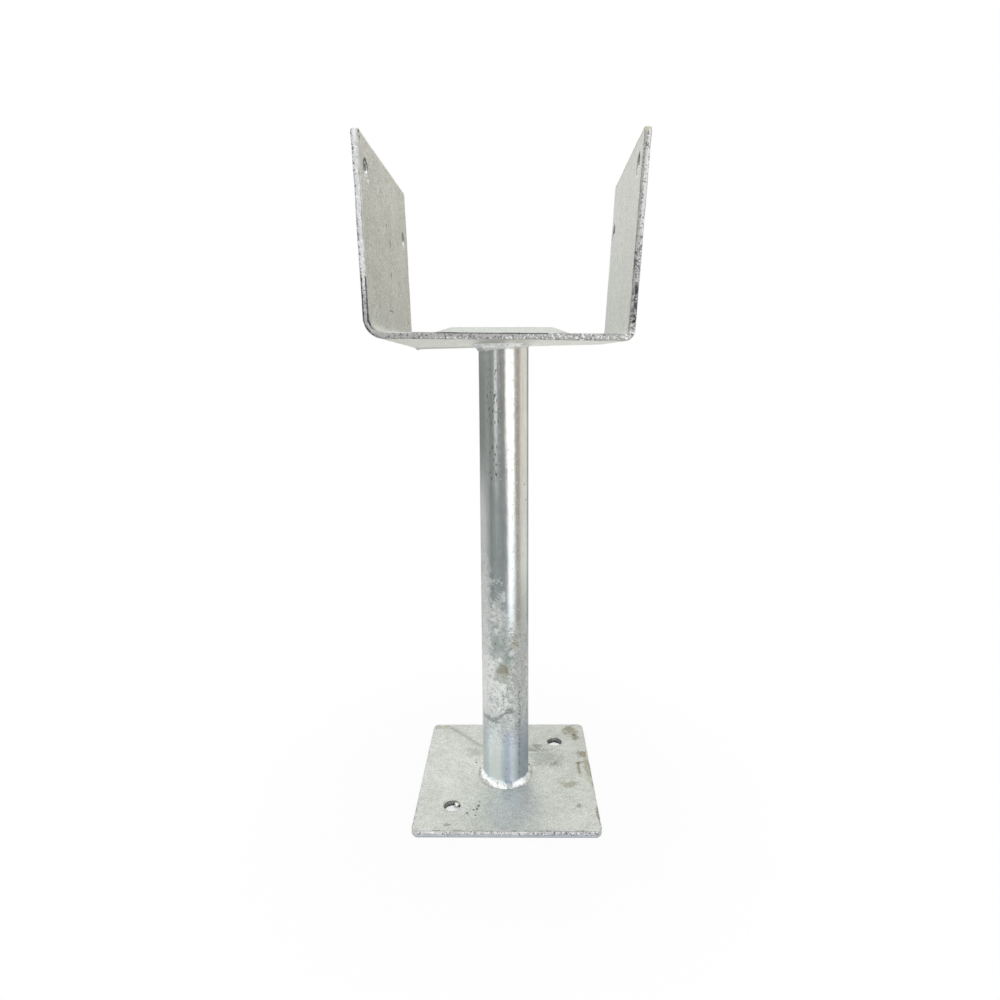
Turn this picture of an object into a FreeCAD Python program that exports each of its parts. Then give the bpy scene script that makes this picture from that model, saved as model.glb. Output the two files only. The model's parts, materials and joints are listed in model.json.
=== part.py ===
"""Bolt-down timber post base in hot-dip galvanised steel.

A square base plate is bolted to the concrete, a short pipe leg stands on it, and a
sheet folded into a U, the saddle, holds the foot of a timber post clear of the ground.
A bevelled seat plate lies on the saddle's floor and keeps the post's end grain off it.

Millimetres and degrees. +Z is up, +X runs across the saddle from flange to flange and
+Y runs through it, from the open front to the open back. The origin is on the base
plate's underside, at its centre.
"""
import FreeCAD, Part
import math
import os

Vector = FreeCAD.Vector
X_AXIS = Vector(1, 0, 0)
Y_AXIS = Vector(0, 1, 0)
Z_AXIS = Vector(0, 0, 1)

# Base plate
plate_side = 100.0
plate_thickness = 4.0
plate_corner_radius = 4.0
plate_edge_round = 0.6
anchor_hole_diameter = 9.0
anchor_hole_inset = 20.0        # from each of the two sides that meet at the hole's corner
vent_hole_diameter = 10.0       # lets the molten zinc in and out of the closed leg

# Leg, a 20 mm nominal bore medium pipe
leg_diameter = 26.9
leg_wall = 2.6
leg_length = 250.0
leg_foot_x = -0.9
leg_lean = 0.5                  # out of plumb towards +X

# Saddle, one folded strip
saddle_thickness = 3.2
saddle_inside_width = 116.0     # between the flanges, at the floor
saddle_depth = 100.0
saddle_edge_round = 0.6
flange_corner_radius = 3.0
saddle_turn = -1.9              # about the leg, against the base plate
saddle_set_forward = 4.0        # towards -Y, off the leg's axis
left_flange_height = 91.0       # from the underside of the floor
right_flange_shortfall = 2.0    # the right flange stands this much lower
left_flange_lean = 1.8          # outward, from square to the floor
right_flange_lean = 3.1
left_flange_sway = -0.9         # turn in the flange's own plane, + brings the tip forward
right_flange_sway = 1.5
left_bend_radius = 6.3          # inside radius of the fold
right_bend_radius = 1.6

# Holes for the post's bolts, each drilled in one line through both flanges
bolt_hole_diameter = 9.0
upper_bolt_inset = 11.0         # from the front edges
upper_bolt_drop = 12.5          # from the tip of the right flange, the shorter one
lower_bolt_inset = 11.5         # from the back edges
lower_bolt_drop = 27.5

# Seat plate
seat_side = 72.0
seat_thickness = 4.0
seat_bevel = 10.5               # run of the sloped edges
seat_corner_radius = 9.0

# Fillet welds round the two ends of the leg
foot_weld_leg = 3.6
head_weld_leg = 3.8
weld_crown = 0.5                # how far the bead's face bulges past the straight line

plate_top = plate_thickness
leg_radius = leg_diameter / 2
floor_top = saddle_thickness
right_flange_height = left_flange_height - right_flange_shortfall


def rounded_corner(before, corner, after, radius):
    """The two tangent points and the middle point of an arc that rounds a corner."""
    back = (before - corner).normalize()
    ahead = (after - corner).normalize()
    half_angle = back.getAngle(ahead) / 2
    tangent_length = radius / math.tan(half_angle)
    bisector = (back + ahead).normalize()
    centre = corner + bisector * (radius / math.sin(half_angle))
    return (corner + back * tangent_length,
            centre - bisector * radius,
            corner + ahead * tangent_length)


def closed_profile(corners, radii):
    """A closed wire through the corners, each rounded by its own radius (0 keeps it sharp)."""
    count = len(corners)
    edges = []
    starts = []
    ends = []
    for index, (corner, radius) in enumerate(zip(corners, radii)):
        if radius == 0:
            starts.append(corner)
            ends.append(corner)
            continue
        first, middle, last = rounded_corner(
            corners[index - 1], corner, corners[(index + 1) % count], radius)
        starts.append(first)
        ends.append(last)
        edges.append(Part.Arc(first, middle, last).toShape())
    for index in range(count):
        edges.append(Part.makeLine(ends[index], starts[(index + 1) % count]))
    return Part.Wire(Part.__sortEdges__(edges))


def square_profile(side, corner_radius, height):
    """A rounded square wire, centred on the Z axis at the given height."""
    half = side / 2
    corners = [Vector(x, y, height)
               for x, y in ((-half, -half), (half, -half), (half, half), (-half, half))]
    return closed_profile(corners, [corner_radius] * 4)


def edges_of_one(shape, is_wanted):
    """The edges that part a wanted face of the shape from an unwanted one."""
    chosen = []
    for edge in shape.Edges:
        wanted = [is_wanted(face) for face in shape.ancestorsOfType(edge, Part.Face)]
        if any(wanted) and not all(wanted):
            chosen.append(edge)
    return chosen


def middle_normal(face):
    """The outward normal at the middle of a face."""
    u_low, u_high, v_low, v_high = face.ParameterRange
    return face.normalAt((u_low + u_high) / 2, (v_low + v_high) / 2)


def make_base_plate():
    """Square plate with soft edges, two anchor holes on one diagonal and the vent hole."""
    blank = Part.Face(square_profile(plate_side, plate_corner_radius, 0))
    plate = blank.extrude(Z_AXIS * plate_thickness)
    rims = edges_of_one(plate, lambda face: abs(middle_normal(face).z) > 0.5)
    plate = plate.makeFillet(plate_edge_round, rims)
    offset = plate_side / 2 - anchor_hole_inset
    holes = [(-offset, -offset, anchor_hole_diameter),
             (offset, offset, anchor_hole_diameter),
             (0, 0, vent_hole_diameter)]
    for x, y, diameter in holes:
        drill = Part.makeCylinder(diameter / 2, plate_thickness + 2, Vector(x, y, -1))
        plate = plate.cut(drill)
    return plate


def make_leg():
    """Pipe leg, upright on z = 0, a little long at the foot so that the plate can trim it."""
    spare = leg_radius * math.tan(math.radians(abs(leg_lean))) + 1
    length = leg_length + spare
    foot = Vector(0, 0, -spare)
    pipe = Part.makeCylinder(leg_radius, length, foot)
    bore = Part.makeCylinder(leg_radius - leg_wall, length, foot)
    return pipe.cut(bore)


def weld_section(leg, rise):
    """Half section of a fillet weld in the XZ plane: its root at the pipe wall, z = 0.

    rise is +1 where the bead climbs the pipe from the root and -1 where it hangs from it.
    """
    root = Vector(leg_radius, 0, 0)
    toe_out = Vector(leg_radius + leg, 0, 0)
    toe_up = Vector(leg_radius, 0, rise * leg)
    crown = Vector(leg_radius + leg / 2, 0, rise * leg / 2)
    crown += Vector(1, 0, rise).normalize() * weld_crown
    return Part.Face(Part.makePolygon([root, toe_out, crown, toe_up, root]))


def make_foot_weld():
    """Bead round the leg's foot, deep enough for the base plate to trim it flat."""
    bead = weld_section(foot_weld_leg, 1).revolve(Vector(), Z_AXIS, 360)
    outer_radius = leg_radius + foot_weld_leg
    skirt_height = outer_radius * math.tan(math.radians(abs(leg_lean))) + 0.5
    skirt = Part.makeCylinder(outer_radius, skirt_height, Vector(0, 0, -skirt_height))
    skirt_bore = Part.makeCylinder(leg_radius, skirt_height, Vector(0, 0, -skirt_height))
    return bead.fuse(skirt.cut(skirt_bore)).removeSplitter()


def make_head_weld():
    """Bead round the leg's head, hanging from the saddle's underside."""
    bead = weld_section(head_weld_leg, -1).revolve(Vector(), Z_AXIS, 360)
    bead.translate(Z_AXIS * leg_length)
    return bead


def flange_line(side, lean, height, face_offset):
    """Foot and tip of one face of a flange, in the saddle's XZ plane.

    side is -1 for the left flange and +1 for the right one. face_offset is 0 on the
    inner face and the sheet's thickness on the outer one.
    """
    slope = math.tan(math.radians(lean))
    shift = face_offset / math.cos(math.radians(lean))
    bottom = floor_top - face_offset

    def point_at(z):
        return Vector(side * (saddle_inside_width / 2 + shift + slope * (z - floor_top)), 0, z)

    tip_drop = face_offset * math.sin(math.radians(lean))
    return point_at(bottom), point_at(height - tip_drop)


def flange_outline(side, lean, sway, height, bend_radius):
    """Solid that holds one half of the saddle: square at the floor, swayed above the bend."""
    half_depth = saddle_depth / 2
    bend_top = floor_top + bend_radius
    turn = FreeCAD.Rotation(X_AXIS, sway)
    front_tip = turn.multVec(Vector(0, -half_depth, height))
    back_tip = turn.multVec(Vector(0, half_depth, height))
    below = -saddle_inside_width / 4
    corners = [Vector(0, -half_depth, below), Vector(0, half_depth, below),
               Vector(0, half_depth, bend_top), back_tip,
               front_tip, Vector(0, -half_depth, bend_top)]
    side_face = Part.Face(Part.makePolygon(corners + corners[:1]))
    outline = side_face.extrude(X_AXIS * (side * saddle_inside_width))
    outline.rotate(Vector(side * saddle_inside_width / 2, 0, floor_top), Y_AXIS, side * lean)
    return outline


def is_at_tip(shape):
    """Whether an edge or a face of the saddle lies at a flange's tip."""
    return shape.CenterOfMass.z > right_flange_height - 2 * flange_corner_radius


def is_sheared(face):
    """Whether a face of the folded strip is one that the shears left."""
    normal = middle_normal(face)
    return abs(normal.y) > 0.1 or (normal.z > 0.9 and is_at_tip(face))


def bolt_point(side, lean, sway, from_middle, drop):
    """Where a bolt's line crosses the inner face of one flange."""
    upright = Vector(0, from_middle, right_flange_height - drop)
    point = FreeCAD.Rotation(X_AXIS, sway).multVec(upright)
    slope = math.tan(math.radians(lean))
    point.x = side * (saddle_inside_width / 2 + slope * (point.z - floor_top))
    return point


def make_saddle():
    """The folded U: floor on z = 0, open to the front and back, with two bolt holes through."""
    spare = 10
    left_in, left_in_tip = flange_line(-1, left_flange_lean, left_flange_height + spare, 0)
    left_out, left_out_tip = flange_line(-1, left_flange_lean, left_flange_height + spare,
                                         saddle_thickness)
    right_in, right_in_tip = flange_line(1, right_flange_lean, right_flange_height + spare, 0)
    right_out, right_out_tip = flange_line(1, right_flange_lean, right_flange_height + spare,
                                           saddle_thickness)
    corners = [left_in_tip, left_in, right_in, right_in_tip,
               right_out_tip, right_out, left_out, left_out_tip]
    radii = [0, left_bend_radius, right_bend_radius, 0,
             0, right_bend_radius + saddle_thickness, left_bend_radius + saddle_thickness, 0]
    length = saddle_depth + 2 * spare
    strip = Part.Face(closed_profile(corners, radii)).extrude(Y_AXIS * length)
    strip.translate(Y_AXIS * (-length / 2))
    left_half = flange_outline(-1, left_flange_lean, left_flange_sway, left_flange_height,
                               left_bend_radius)
    right_half = flange_outline(1, right_flange_lean, right_flange_sway, right_flange_height,
                                right_bend_radius)
    strip = strip.common(left_half.fuse(right_half)).removeSplitter()
    corners = [edge for edge in strip.Edges
               if edge.Length < 2 * saddle_thickness and is_at_tip(edge)
               and abs(edge.tangentAt(edge.FirstParameter).y) < 0.1]
    strip = strip.makeFillet(flange_corner_radius, corners)
    strip = strip.makeFillet(saddle_edge_round, edges_of_one(strip, is_sheared))
    half_depth = saddle_depth / 2
    for from_middle, drop in ((-half_depth + upper_bolt_inset, upper_bolt_drop),
                              (half_depth - lower_bolt_inset, lower_bolt_drop)):
        left = bolt_point(-1, left_flange_lean, left_flange_sway, from_middle, drop)
        right = bolt_point(1, right_flange_lean, right_flange_sway, from_middle, drop)
        along = (right - left).normalize()
        drill = Part.makeCylinder(bolt_hole_diameter / 2, 2 * saddle_inside_width,
                                  left - along * (saddle_inside_width / 2), along)
        strip = strip.cut(drill)
    return strip


def make_seat_plate():
    """Square plate with all four edges sloped, lying on the saddle's floor."""
    foot = square_profile(seat_side, seat_corner_radius, floor_top)
    top = square_profile(seat_side - 2 * seat_bevel, seat_corner_radius / 2,
                         floor_top + seat_thickness)
    return Part.makeLoft([foot, top], True, True)


def set_on_leg(shape):
    """From the saddle's own frame to the leg's: forward, turned, and up to the leg's head."""
    placed = shape.copy()
    placed.rotate(Vector(), Z_AXIS, saddle_turn)
    placed.translate(Vector(0, -saddle_set_forward, leg_length))
    return placed


def set_on_plate(shape):
    """From the leg's upright frame to the part's: leaned, and up on to the base plate."""
    placed = shape.copy()
    placed.rotate(Vector(), Y_AXIS, leg_lean)
    placed.translate(Vector(leg_foot_x, 0, plate_top))
    return placed


def trim_at_plate(shape):
    """Keeps what lies above the base plate's top face."""
    reach = 2 * plate_side
    above = Part.makeBox(2 * reach, 2 * reach, 2 * leg_length, Vector(-reach, -reach, plate_top))
    return shape.common(above)


def main():
    nodes = {
        "base_plate": make_base_plate(),
        "leg_pipe": trim_at_plate(set_on_plate(make_leg())),
        "foot_weld": trim_at_plate(set_on_plate(make_foot_weld())),
        "head_weld": set_on_plate(make_head_weld()),
        "saddle": set_on_plate(set_on_leg(make_saddle())),
        "seat_plate": set_on_plate(set_on_leg(make_seat_plate())),
    }
    os.makedirs("parts", exist_ok=True)
    for name, shape in nodes.items():
        solids = shape.Solids
        if len(solids) != 1 or not solids[0].isValid():
            raise ValueError(name + " is not one valid solid")
        solids[0].exportStep("parts/" + name + ".step")
        box = shape.optimalBoundingBox()
        print("%-11s volume %9.1f  x %7.2f %7.2f  y %7.2f %7.2f  z %7.2f %7.2f" % (
            name, shape.Volume, box.XMin, box.XMax, box.YMin, box.YMax, box.ZMin, box.ZMax))


main()
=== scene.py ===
import json
import math

import bpy
import numpy as np
from mathutils import Matrix, Vector, noise


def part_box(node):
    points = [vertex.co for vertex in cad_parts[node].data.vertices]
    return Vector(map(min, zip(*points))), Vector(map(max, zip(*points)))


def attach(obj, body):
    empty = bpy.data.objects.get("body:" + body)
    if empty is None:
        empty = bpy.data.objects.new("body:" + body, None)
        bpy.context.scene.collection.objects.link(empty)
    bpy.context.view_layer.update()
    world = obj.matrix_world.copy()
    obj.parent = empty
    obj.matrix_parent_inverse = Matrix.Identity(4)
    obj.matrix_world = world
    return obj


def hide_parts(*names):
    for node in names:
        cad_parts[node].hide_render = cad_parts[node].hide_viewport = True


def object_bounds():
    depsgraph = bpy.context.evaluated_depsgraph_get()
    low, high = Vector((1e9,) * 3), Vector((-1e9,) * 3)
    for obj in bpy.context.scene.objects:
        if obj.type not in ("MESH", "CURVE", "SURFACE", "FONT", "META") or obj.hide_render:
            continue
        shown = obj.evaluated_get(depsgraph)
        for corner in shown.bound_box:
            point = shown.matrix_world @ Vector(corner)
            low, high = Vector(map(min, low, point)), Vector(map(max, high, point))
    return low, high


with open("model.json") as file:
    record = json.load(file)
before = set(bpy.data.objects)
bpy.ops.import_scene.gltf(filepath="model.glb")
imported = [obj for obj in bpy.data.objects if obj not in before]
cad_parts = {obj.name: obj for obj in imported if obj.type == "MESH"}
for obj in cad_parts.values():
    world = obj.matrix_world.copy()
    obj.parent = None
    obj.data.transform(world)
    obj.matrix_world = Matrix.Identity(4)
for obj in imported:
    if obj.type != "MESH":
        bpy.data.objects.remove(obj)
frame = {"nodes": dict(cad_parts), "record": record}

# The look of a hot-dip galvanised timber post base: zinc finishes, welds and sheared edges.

cad_low, cad_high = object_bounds()
MM = 0.001


# ------------------------------ the frame's facts

def mount(name):
    """One of the record's mounts."""
    return next(entry for entry in frame["record"]["mounts"] if entry["name"] == name)


def frame_matrix(origin, x_axis, y_axis, z_axis):
    """The matrix that takes local coordinates to the part's frame."""
    matrix = Matrix((x_axis, y_axis, z_axis)).transposed().to_4x4()
    matrix.translation = origin
    return matrix


plate_low, plate_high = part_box("base_plate")
leg_low, leg_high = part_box("leg_pipe")
leg_radius = (leg_high.y - leg_low.y) / 2
leg_axis = Vector(mount("post_seat")["axis"]).normalized()
leg_foot = Vector((leg_low.x + leg_radius, 0, leg_low.z))
leg_length = (leg_high.z - leg_low.z) / leg_axis.z - leg_radius * abs(leg_axis.x)
leg_side = Vector((0, 1, 0)).cross(leg_axis).normalized()
leg_frame = frame_matrix(leg_foot, leg_side, leg_axis.cross(leg_side), leg_axis)

PIPE_WALL = 2.6 * MM
SADDLE_TURN = math.radians(-1.9)
SEAT_RISE = 7.2 * MM     # the seat plate's top over the underside of the saddle's floor
saddle_frame = frame_matrix(Vector(mount("post_seat")["pos_m"]) - leg_axis * SEAT_RISE,
                            *(leg_frame.to_3x3() @ Matrix.Rotation(SADDLE_TURN, 3, "Z")).col)

# The saddle's folded sheet, in millimetres. Where the sides differ, -1 is the left and 1 the right
SHEET = 3.2              # thickness
HALF_INSIDE = 58.0       # from the middle to the flanges' inner faces, at the floor
HALF_DEPTH = 50.0
LEAN = {-1: math.radians(1.8), 1: math.radians(3.1)}      # outward
BEND = {-1: 6.3, 1: 1.6}                                  # inside radius
TIP = {-1: 91.0, 1: 89.0}                                 # height over the floor's underside
SWAY = {-1: math.radians(-0.9), 1: math.radians(1.5)}     # forward
CORNER = 3.0             # radius of the flanges' corners
ARRIS = 0.6              # radius of the sheet's softened edges
SNAP = 0.45              # a point this near its true face is laid on it
PITCH = 0.0056           # the floor leans this far back
TWIST = 0.0209           # and each end of it this much more, one way or the other

# How far the anchor holes lie from the plate's middle, both ways, in millimetres
ANCHOR = round(mount("anchor_bolts")["dims"]["pcd_mm"] / math.sqrt(8), 2)


# ------------------------------ camera

def make_camera():
    """A wide view from just under the saddle's floor, a little off to the right."""
    heading = math.radians(-1.40)
    tilt = math.radians(8.95)
    roll = math.radians(-0.88)
    ahead = Vector((math.sin(heading) * math.cos(tilt), math.cos(heading) * math.cos(tilt),
                    -math.sin(tilt)))
    level = Vector((math.cos(heading), -math.sin(heading), 0))
    upright = level.cross(ahead)
    right = level * math.cos(roll) + upright * math.sin(roll)
    up = upright * math.cos(roll) - level * math.sin(roll)
    data = bpy.data.cameras.new("camera")
    data.sensor_width = 36
    data.lens = 22.45
    data.shift_y = -0.030
    data.clip_start = 0.01
    data.clip_end = 20
    camera = bpy.data.objects.new("camera", data)
    camera.matrix_world = frame_matrix(Vector((6.72, -340.13, 239.49)) * MM, right, up, -ahead)
    bpy.context.scene.collection.objects.link(camera)
    bpy.context.scene.camera = camera


# ------------------------------ node trees

def colour_of(value):
    """A grey level or an RGB triple as RGBA."""
    if isinstance(value, (int, float)):
        return (value, value, value, 1.0)
    return (*value, 1.0)


class Tree:
    """A node tree with short calls to add nodes. Inputs are values or other nodes' sockets."""

    def __init__(self, owner):
        owner.use_nodes = True
        self.tree = owner.node_tree
        self.tree.nodes.clear()

    def feed(self, socket, value):
        if isinstance(value, bpy.types.NodeSocket):
            self.tree.links.new(value, socket)
        elif socket.type == "RGBA":
            socket.default_value = colour_of(value)
        else:
            socket.default_value = value

    def add(self, kind, inputs=None, **settings):
        node = self.tree.nodes.new("ShaderNode" + kind)
        for name, value in settings.items():
            setattr(node, name, value)
        for name, value in (inputs or {}).items():
            self.feed(node.inputs[name], value)
        return node

    def math(self, operation, first, second=0.0, third=0.0):
        return self.add("Math", {0: first, 1: second, 2: third}, operation=operation).outputs[0]

    def rest(self, mask):
        """What a mask leaves of 1."""
        return self.math("SUBTRACT", 1.0, mask)

    def plus(self, *terms):
        total = terms[0]
        for term in terms[1:]:
            total = self.math("ADD", total, term)
        return total

    def times(self, *terms):
        total = terms[0]
        for term in terms[1:]:
            total = self.math("MULTIPLY", total, term)
        return total

    def either(self, *masks):
        total = masks[0]
        for mask in masks[1:]:
            total = self.math("MAXIMUM", total, mask)
        return total

    def noise(self, vector, scale, detail=2.0, roughness=0.5, distortion=0.0):
        return self.add("TexNoise", {"Vector": vector, "Scale": scale, "Detail": detail,
                                     "Roughness": roughness,
                                     "Distortion": distortion}).outputs["Fac"]

    def cells(self, vector, scale):
        """Distance from the nearest cell centre, in cells, and the cell's random colour."""
        node = self.add("TexVoronoi", {"Vector": vector, "Scale": scale})
        return node.outputs["Distance"], node.outputs["Color"]

    def band(self, value, low, high, from_value=0.0, to_value=1.0):
        """Smooth step: from_value below low and to_value above high."""
        return self.add("MapRange", {"Value": value, "From Min": low, "From Max": high,
                                     "To Min": from_value, "To Max": to_value},
                        interpolation_type="SMOOTHSTEP").outputs["Result"]

    def spread(self, value, reach, low=0.3):
        """A noise's value, stretched to run from -reach to reach."""
        return self.band(value, low, 1 - low, -reach, reach)

    def near(self, value, middle, half_width, softness):
        """1 within half_width of the middle and 0 beyond it, with soft sides."""
        away = self.math("ABSOLUTE", self.math("SUBTRACT", value, middle))
        return self.band(away, half_width, half_width + softness, 1.0, 0.0)

    def ramp(self, value, stops):
        """A colour ramp. Stops are (position, grey or colour)."""
        node = self.add("ValToRGB", {"Fac": value})
        ramp = node.color_ramp
        while len(ramp.elements) < len(stops):
            ramp.elements.new(0.5)
        for element, (position, colour) in zip(ramp.elements, sorted(stops, key=lambda s: s[0])):
            element.position = position
            element.color = colour_of(colour)
        return node.outputs["Color"]

    def mix(self, factor, first, second, blend="MIX"):
        node = self.tree.nodes.new("ShaderNodeMix")
        node.data_type = "RGBA"
        node.blend_type = blend
        self.feed(node.inputs[0], factor)
        self.feed(node.inputs[6], first)
        self.feed(node.inputs[7], second)
        return node.outputs[2]

    def blot(self, across, along, centre, reach, ragged, softness=0.5):
        """A stain: 1 inside an ellipse whose rim is broken up by the ragged value."""
        x = self.math("DIVIDE", self.math("SUBTRACT", across, centre[0]), reach[0])
        y = self.math("DIVIDE", self.math("SUBTRACT", along, centre[1]), reach[1])
        away = self.math("SQRT", self.plus(self.times(x, x), self.times(y, y)))
        return self.band(self.plus(away, ragged), 1 - softness / 2, 1 + softness / 2, 1.0, 0.0)

    def split(self, vector):
        return self.add("SeparateXYZ", {0: vector}).outputs[:3]

    def millimetres(self, vector):
        """The three parts of a vector in metres, in millimetres."""
        scaled = self.add("VectorMath", {0: vector, "Scale": 1000.0}, operation="SCALE")
        return self.split(scaled.outputs[0])

    def turn(self, x, y):
        """Direction round the Z axis, in degrees from the front, right positive."""
        return self.math("DEGREES", self.math("ARCTAN2", x, self.times(y, -1.0)))

    def facing(self, turn):
        """1 round the front and the sides, fading to 0 at the back, where left meets right."""
        return self.band(self.math("ABSOLUTE", turn), 110, 178, 1.0, 0.0)

    def bump(self, height, strength, distance, normal=None):
        inputs = {"Height": height, "Strength": strength, "Distance": distance}
        if normal is not None:
            inputs["Normal"] = normal
        return self.add("Bump", inputs).outputs[0]


# ------------------------------ surroundings

# Tones of the room by direction, in degrees from the front, right positive: first as seen level
# or looking down, then a little higher
LOW_WALLS = [(-180, 0.95), (-170, 0.90), (-158, (0.42, 0.46, 0.46)), (-148, (0.26, 0.28, 0.28)),
             (-125, (0.31, 0.34, 0.335)), (-102, (0.35, 0.36, 0.345)), (-88, (0.42, 0.43, 0.405)),
             (-75, (0.40, 0.42, 0.405)), (-63, (0.29, 0.31, 0.305)), (-52, (0.38, 0.405, 0.405)),
             (-22, (0.40, 0.42, 0.42)), (-12, (0.33, 0.34, 0.335)), (-3, (0.39, 0.395, 0.38)),
             (4, (0.415, 0.41, 0.39)), (13, 1.8), (45, 1.8), (53, (0.80, 0.74, 0.66)),
             (60, (0.52, 0.46, 0.39)), (74, (0.55, 0.50, 0.43)), (87, (0.95, 0.92, 0.84)),
             (128, (1.02, 1.0, 0.94)), (146, (0.34, 0.35, 0.34)), (158, (0.42, 0.46, 0.46)),
             (170, 0.90), (180, 0.95)]
HIGH_WALLS = [(-180, 0.95), (-160, 1.05), (-130, 0.80), (-90, 0.55), (-50, 0.70), (-25, 0.90),
              (0, 0.90), (10, 1.5), (38, 1.5), (52, 0.70), (100, 0.65), (135, 0.55),
              (150, (0.57, 0.55, 0.495)), (168, (0.64, 0.62, 0.565)), (180, 0.95)]
CEILING = (0.98, 0.99, 0.99)
PALE_GAP = (1.0, 1.03, 1.04)
DARK_POST = (0.36, 0.375, 0.375)


def make_world():
    """A pale room as the metal sees it, with darker stretches, and plain white behind."""
    world = bpy.data.worlds.new("room")
    bpy.context.scene.world = world
    tree = Tree(world)
    x, y, z = tree.split(tree.add("TexCoord").outputs["Generated"])
    turn = tree.turn(x, y)
    place = tree.math("MULTIPLY_ADD", turn, 1 / 360, 0.5)
    low, high = (tree.ramp(place, [(0.5 + degrees / 360, tone) for degrees, tone in walls])
                 for walls in (LOW_WALLS, HIGH_WALLS))
    # a pale gap and a dark post, seen only by faces that look a little down
    gap = tree.times(tree.near(turn, -37, 4.0, 6), tree.band(z, -0.22, -0.06))
    low = tree.mix(gap, low, PALE_GAP)
    post = tree.times(tree.near(turn, 8, 7, 5), tree.band(z, -0.08, -0.22))
    low = tree.mix(post, low, DARK_POST)
    walls = tree.mix(tree.band(z, 0.02, 0.16), low, high)
    room = tree.mix(tree.band(z, 0.16, 0.50), walls, CEILING)
    lit = tree.add("Background", {"Color": room, "Strength": 1.0})
    white = tree.add("Background", {"Color": 1.0, "Strength": 1.0})
    is_camera = tree.add("LightPath").outputs["Is Camera Ray"]
    both = tree.add("MixShader", {0: is_camera, 1: lit.outputs[0], 2: white.outputs[0]})
    tree.add("OutputWorld", {"Surface": both.outputs[0]})


FLOOR_REACH = 0.22       # radius, in metres
FLOOR_SPOKES = 96
FLOOR_PAPER = 0.86


def make_floor():
    """A round pale table top that keeps the object's soft shadow."""
    mesh = bpy.data.meshes.new("floor")
    swings = [2 * math.pi * i / FLOOR_SPOKES for i in range(FLOOR_SPOKES)]
    rim = [(FLOOR_REACH * math.cos(swing), FLOOR_REACH * math.sin(swing), 0) for swing in swings]
    mesh.from_pydata(rim, [], [list(range(FLOOR_SPOKES))])
    floor = bpy.data.objects.new("floor", mesh)
    bpy.context.scene.collection.objects.link(floor)
    material = bpy.data.materials.new("floor")
    tree = Tree(material)
    paper = tree.add("BsdfDiffuse", {"Color": FLOOR_PAPER})
    glow = tree.add("Emission", {"Color": 1.0, "Strength": 1.0})
    path = tree.add("LightPath").outputs
    place = tree.add("TexCoord").outputs["Object"]
    distance = tree.add("VectorMath", {0: place}, operation="LENGTH").outputs["Value"]
    open_floor = tree.band(distance, 0.06, FLOOR_REACH * 0.9, 0.92, 1.0)
    x, y, _ = tree.split(tree.add("VectorMath", {0: place}, operation="ABSOLUTE").outputs[0])
    beyond_plate = tree.band(tree.math("MAXIMUM", x, y), plate_high.x - 0.006, plate_high.x)
    fade = tree.times(open_floor, tree.math("MULTIPLY_ADD", beyond_plate, 0.3, 0.7))
    seen = tree.either(path["Is Camera Ray"], path["Is Transmission Ray"])
    both = tree.add("MixShader", {0: tree.times(seen, fade), 1: paper.outputs[0],
                                  2: glow.outputs[0]})
    tree.add("OutputMaterial", {"Surface": both.outputs[0]})
    mesh.materials.append(material)


# ------------------------------ finishes

PALE_ZINC = (0.975, 1.0, 0.93)
BLUE_ZINC = (0.95, 1.0, 1.01)


class Finish:
    """A hot-dip zinc surface in the making: a level, a tint, a roughness and a normal."""

    def __init__(self, name, tone, tint, roughness, mottle=0.05, grain=1.0):
        self.material = bpy.data.materials.new(name)
        tree = self.tree = Tree(self.material)
        self.place = tree.add("TexCoord").outputs["Object"]
        clouds = tree.noise(self.place, 60, 4, 0.6)
        self.patches = tree.noise(self.place, 320, 3, 0.65)
        self.grain = tree.noise(self.place, 1300, 2, 0.7)
        level = tree.plus(tree.band(clouds, 0.3, 0.7, tone - mottle, tone + mottle),
                          tree.spread(self.patches, mottle),
                          tree.band(self.grain, 0.28, 0.72, -0.075 * grain, 0.075 * grain))
        self.colour = tree.mix(1.0, tree.ramp(level, [(0, 0.0), (1, 1.0)]), tint, "MULTIPLY")
        self.rough = tree.band(clouds, 0.3, 0.7, roughness - 0.05, roughness + 0.05)
        waves = tree.bump(tree.noise(self.place, 90, 2, 0.5), 0.15, 1.0 * MM)
        self.normal = tree.bump(self.grain, 0.45 * grain, 0.3 * MM, waves)
        self.metal = 1.0

    def tinge(self, mask, colour, blend="MULTIPLY"):
        """Multiplies by a colour, or mixes it in, where the mask is 1."""
        self.colour = self.tree.mix(mask, self.colour, colour, blend)

    def dull(self, mask, roughness):
        tree = self.tree
        self.rough = tree.plus(tree.times(self.rough, tree.rest(mask)),
                               tree.times(mask, roughness))

    def patina(self, mask, share):
        """Lets that share of the metal go chalky where the mask is 1."""
        self.metal = self.tree.math("MULTIPLY_ADD", mask, -share, 1.0)

    def emboss(self, height, strength, distance):
        self.normal = self.tree.bump(height, strength, distance, self.normal)

    def pits(self, spacing, size, share, dark=0.35):
        """Scattered small pits: dark, with a lip that glints."""
        tree = self.tree
        away, cell = tree.cells(self.place, 1 / spacing)
        chosen = tree.band(tree.split(cell)[0], 1 - share - 0.01, 1 - share + 0.01)
        reach = size / spacing
        wobble = tree.band(self.patches, 0.35, 0.65, -0.4 * reach, 0.4 * reach)
        hole = tree.times(chosen, tree.band(tree.plus(away, wobble), 0.5 * reach, reach, 1.0, 0.0))
        self.tinge(hole, dark)
        self.emboss(tree.rest(hole), 0.8, 0.25 * MM)

    def finish(self):
        tree = self.tree
        shader = tree.add("BsdfPrincipled", {"Base Color": self.colour, "Metallic": self.metal,
                                             "Roughness": self.rough, "Normal": self.normal})
        tree.add("OutputMaterial", {"Surface": shader.outputs[0]})
        return self.material


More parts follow.
